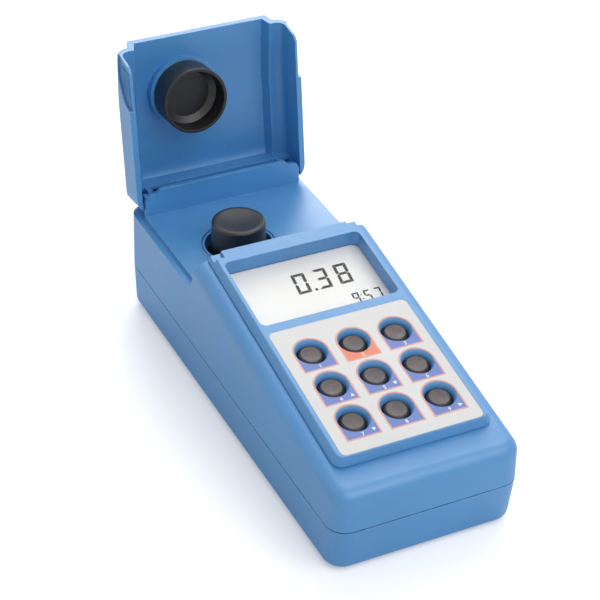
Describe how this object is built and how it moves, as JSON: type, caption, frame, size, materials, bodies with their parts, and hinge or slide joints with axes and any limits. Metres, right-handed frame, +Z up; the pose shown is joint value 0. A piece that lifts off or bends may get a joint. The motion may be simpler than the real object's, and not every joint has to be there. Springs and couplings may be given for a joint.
{
  "type": "portable turbidity meter",
  "caption": "Wedge-shaped handheld turbidity meter with recessed round keys, a sunk display and a hinged light-tight cover over a capped glass cuvette.",
  "frame": {"origin": "bottom centre of the bounding box with the cover open, on the surface the feet stand on", "axes": "+Z up, +Y from the front edge of the panel to the cover, +X to the right seen from the front"},
  "size_m": [0.087, 0.2404, 0.1297],
  "materials": {
    "case_blue": "fine moulded texture, semi-matte",
    "gasket": "matte",
    "steel": "bright zinc",
    "foot_rubber": "matte",
    "cup_black": "satin black",
    "label": "printed film, light grey with blue-violet fields",
    "key": "soft brown-grey",
    "window": "clear display window",
    "display": "grey-green liquid crystal",
    "board": "green lacquer",
    "optics_black": "black, moulded",
    "lamp_glass": "clear",
    "lens_glass": "polished",
    "brass": "plain",
    "cuvette_glass": "clear",
    "liner": "white sealing disc",
    "cell": "plain sleeve",
    "socket_black": "black"
  },
  "bodies": {
    "case": {"upper_case": "case_blue", "lower_case": "case_blue", "case_gasket": "gasket", "case_screws": "steel", "rubber_feet": "foot_rubber", "hinge_pins": "steel", "keypad_label": "label", "display_window": "window", "lcd_display": "display", "main_board": "board", "board_screws": "steel", "key_dome_switches": "steel", "well_collar": "case_blue", "optical_block": "optics_black", "lamp": "lamp_glass", "lamp_lens": "lens_glass", "lamp_holder": "brass", "transmitted_light_detector": "optics_black", "scattered_light_detector": "optics_black", "battery_cell_1": "cell", "battery_cell_2": "cell", "battery_cell_3": "cell", "battery_cell_4": "cell", "battery_springs": "steel", "battery_contact_plates": "steel", "power_jack": "socket_black", "data_port": "socket_black"},
    "cover": {"lid": "case_blue", "light_shield_cup": "cup_black"},
    "sample_tube": {"cuvette_glass": "cuvette_glass"},
    "cap_seal": {"cap_liner": "liner"},
    "cap": {"cuvette_cap": "cup_black"},
    "battery_door": {"battery_cover": "case_blue"},
    "key_rear_left": {"key_rear_left": "key"},
    "key_rear_centre": {"key_rear_centre": "key"},
    "key_rear_right": {"key_rear_right": "key"},
    "key_middle_left": {"key_middle_left": "key"},
    "key_middle_centre": {"key_middle_centre": "key"},
    "key_middle_right": {"key_middle_right": "key"},
    "key_front_left": {"key_front_left": "key"},
    "key_front_centre": {"key_front_centre": "key"},
    "key_front_right": {"key_front_right": "key"}
  },
  "joints": [
    {"name": "lid_hinge", "type": "hinge", "parent": "case", "child": "cover", "pos_m": [0, 0.0958, 0.058], "axis": [-1, 0, 0], "range_deg": [-97.4, 0]},
    {"name": "cuvette_lift", "type": "slide", "parent": "case", "child": "sample_tube", "axis": [0, 0, 1], "range_m": [0, 0.066]},
    {"name": "cap_rise", "type": "slide", "parent": "sample_tube", "child": "cap_seal", "axis": [0, 0, 1], "range_m": [0, 0.0045]},
    {"name": "cap_turn", "type": "hinge", "parent": "cap_seal", "child": "cap", "pos_m": [-0.009, 0.0508, 0.058], "axis": [0, 0, 1], "range_deg": [0, 540]},
    {"name": "battery_door_swing", "type": "hinge", "parent": "case", "child": "battery_door", "pos_m": [0, -0.0689, 0.001], "axis": [-1, 0, 0], "range_deg": [0, 55]},
    {"name": "key_rear_left_press", "type": "slide", "parent": "case", "child": "key_rear_left", "axis": [0, 0.1804, -0.9836], "range_m": [0, 0.0007], "stiffness_N_per_m": 1000, "springref_m": -0.001},
    {"name": "key_rear_centre_press", "type": "slide", "parent": "case", "child": "key_rear_centre", "axis": [0, 0.1804, -0.9836], "range_m": [0, 0.0007], "stiffness_N_per_m": 1000, "springref_m": -0.001},
    {"name": "key_rear_right_press", "type": "slide", "parent": "case", "child": "key_rear_right", "axis": [0, 0.1804, -0.9836], "range_m": [0, 0.0007], "stiffness_N_per_m": 1000, "springref_m": -0.001},
    {"name": "key_middle_left_press", "type": "slide", "parent": "case", "child": "key_middle_left", "axis": [0, 0.1804, -0.9836], "range_m": [0, 0.0007], "stiffness_N_per_m": 1000, "springref_m": -0.001},
    {"name": "key_middle_centre_press", "type": "slide", "parent": "case", "child": "key_middle_centre", "axis": [0, 0.1804, -0.9836], "range_m": [0, 0.0007], "stiffness_N_per_m": 1000, "springref_m": -0.001},
    {"name": "key_middle_right_press", "type": "slide", "parent": "case", "child": "key_middle_right", "axis": [0, 0.1804, -0.9836], "range_m": [0, 0.0007], "stiffness_N_per_m": 1000, "springref_m": -0.001},
    {"name": "key_front_left_press", "type": "slide", "parent": "case", "child": "key_front_left", "axis": [0, 0.1804, -0.9836], "range_m": [0, 0.0007], "stiffness_N_per_m": 1000, "springref_m": -0.001},
    {"name": "key_front_centre_press", "type": "slide", "parent": "case", "child": "key_front_centre", "axis": [0, 0.1804, -0.9836], "range_m": [0, 0.0007], "stiffness_N_per_m": 1000, "springref_m": -0.001},
    {"name": "key_front_right_press", "type": "slide", "parent": "case", "child": "key_front_right", "axis": [0, 0.1804, -0.9836], "range_m": [0, 0.0007], "stiffness_N_per_m": 1000, "springref_m": -0.001}
  ],
  "couplings": [
    {"joint": "cap_rise", "follows": "cap_turn", "m_per_rad": 0.00047746}
  ]
}
